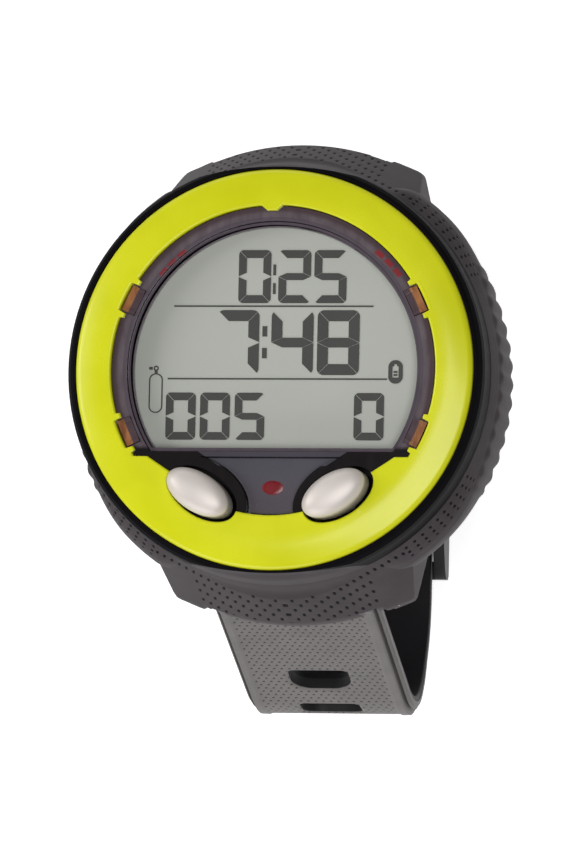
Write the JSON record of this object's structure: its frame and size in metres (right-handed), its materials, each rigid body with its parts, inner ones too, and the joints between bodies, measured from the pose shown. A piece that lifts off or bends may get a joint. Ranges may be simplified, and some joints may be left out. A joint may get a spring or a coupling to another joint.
{
  "type": "wrist dive computer",
  "caption": "Wrist dive computer: round case with a yellow bezel, segment display, two oval push buttons and a buckled slotted rubber strap.",
  "frame": {"origin": "under the centre of the case, on the plane that the buckled strap loop stands on", "axes": "+Z the way the display looks, +Y towards twelve o'clock, +X towards three o'clock"},
  "size_m": [0.0792, 0.1005, 0.1034],
  "materials": {
    "boot_rubber": "fine satin rubber with small round dimples",
    "case_plastic": "satin black moulded nylon",
    "bezel_plastic": "glossy yellow moulded plastic",
    "smoke_plastic": "polished smoke-tinted polycarbonate",
    "amber_plastic": "translucent amber plastic",
    "clear_window": "clear polished window",
    "seal_rubber": "matt seal rubber",
    "lcd_glass": "matt grey-green reflective display",
    "segment_ink": "dark display segments",
    "frame_plastic": "moulded inner frame",
    "light_plastic": "milky light guide",
    "elastomer": "striped elastomer connector",
    "trim_plastic": "dark blue-grey trim",
    "red_light": "red light pipes",
    "board_laminate": "green solder mask",
    "chip_plastic": "black chip packages",
    "ceramic_part": "cream chip antenna",
    "button_steel": "satin warm steel",
    "fine_steel": "plain steel",
    "contact_brass": "plated contact brass",
    "cell_steel": "nickel-plated coin cell",
    "cover_plastic": "fine-textured black cover",
    "seal_red": "red silicone O-ring",
    "strap_grey": "grey strap rubber with a dimpled centre",
    "strap_black": "black strap lining",
    "buckle_plastic": "black moulded buckle and keepers"
  },
  "bodies": {
    "case": {"wrist_boot": "boot_rubber", "module_case": "case_plastic", "bezel": "bezel_plastic", "upper_housing": "smoke_plastic", "bezel_clips": "amber_plastic", "display_lens": "clear_window", "lens_gasket": "seal_rubber", "lcd_panel": "lcd_glass", "lcd_segments": "segment_ink", "display_frame": "frame_plastic", "light_guide": "light_plastic", "connector_strip": "elastomer", "lower_trim_panel": "trim_plastic", "status_lights": "red_light", "circuit_board": "board_laminate", "board_chips": "chip_plastic", "button_switches": "fine_steel", "antenna": "ceramic_part", "pressure_sensor": "fine_steel", "sensor_oring": "seal_rubber", "sounder": "contact_brass", "wet_contacts": "fine_steel", "battery": "cell_steel", "battery_contacts": "contact_brass", "back_cover": "cover_plastic", "case_screws": "fine_steel", "hatch_oring": "seal_red", "upper_spring_bar": "fine_steel", "lower_spring_bar": "fine_steel", "left_button_spring": "fine_steel", "right_button_spring": "fine_steel", "left_button_oring": "seal_rubber", "right_button_oring": "seal_rubber"},
    "battery_hatch": {"battery_hatch": "cover_plastic"},
    "left_button": {"left_button_cap": "button_steel", "left_button_stem": "fine_steel", "left_button_clip": "fine_steel"},
    "right_button": {"right_button_cap": "button_steel", "right_button_stem": "fine_steel", "right_button_clip": "fine_steel"},
    "upper_strap": {"upper_strap": "strap_grey", "upper_strap_lining": "strap_black", "fixed_keeper": "buckle_plastic", "buckle_pin": "fine_steel"},
    "sliding_keeper": {"sliding_keeper": "buckle_plastic"},
    "buckle_frame": {"buckle_frame": "buckle_plastic"},
    "buckle_tongue": {"buckle_tongue": "fine_steel"},
    "lower_strap": {"lower_strap": "strap_grey", "lower_strap_lining": "strap_black"}
  },
  "joints": [
    {"name": "left_button_press", "type": "slide", "parent": "case", "child": "left_button", "axis": [0, 0, -1], "range_m": [0, 0.001], "stiffness_N_per_m": 400, "springref_m": -0.0015, "deforming": ["left_button_spring"]},
    {"name": "right_button_press", "type": "slide", "parent": "case", "child": "right_button", "axis": [0, 0, -1], "range_m": [0, 0.001], "stiffness_N_per_m": 400, "springref_m": -0.0015, "deforming": ["right_button_spring"]},
    {"name": "battery_hatch_turn", "type": "hinge", "parent": "case", "child": "battery_hatch", "pos_m": [0, 0, 0.0678], "axis": [0, 0, 1], "range_deg": [0, 60]},
    {"name": "lower_strap_swing", "type": "hinge", "parent": "case", "child": "lower_strap", "pos_m": [0, -0.0389, 0.0716], "axis": [-1, 0, 0], "range_deg": [0, 0.7]},
    {"name": "upper_strap_swing", "type": "hinge", "parent": "case", "child": "upper_strap", "pos_m": [0, 0.0389, 0.0716], "axis": [1, 0, 0], "range_deg": [0, 0.7]},
    {"name": "keeper_slide", "type": "slide", "parent": "upper_strap", "child": "sliding_keeper", "axis": [0, 1, 0], "range_m": [-0.0045, 0.0045]},
    {"name": "buckle_hinge", "type": "hinge", "parent": "upper_strap", "child": "buckle_frame", "pos_m": [0, -0.01381, 0.0082], "axis": [1, 0, 0], "range_deg": [0, 8]},
    {"name": "tongue_hinge", "type": "hinge", "parent": "buckle_frame", "child": "buckle_tongue", "pos_m": [0, -0.01381, 0.0082], "axis": [1, 0, 0], "range_deg": [0, 34]}
  ],
  "couplings": [
    {"joint": "upper_strap_swing", "follows": "lower_strap_swing", "ratio": 1}
  ]
}
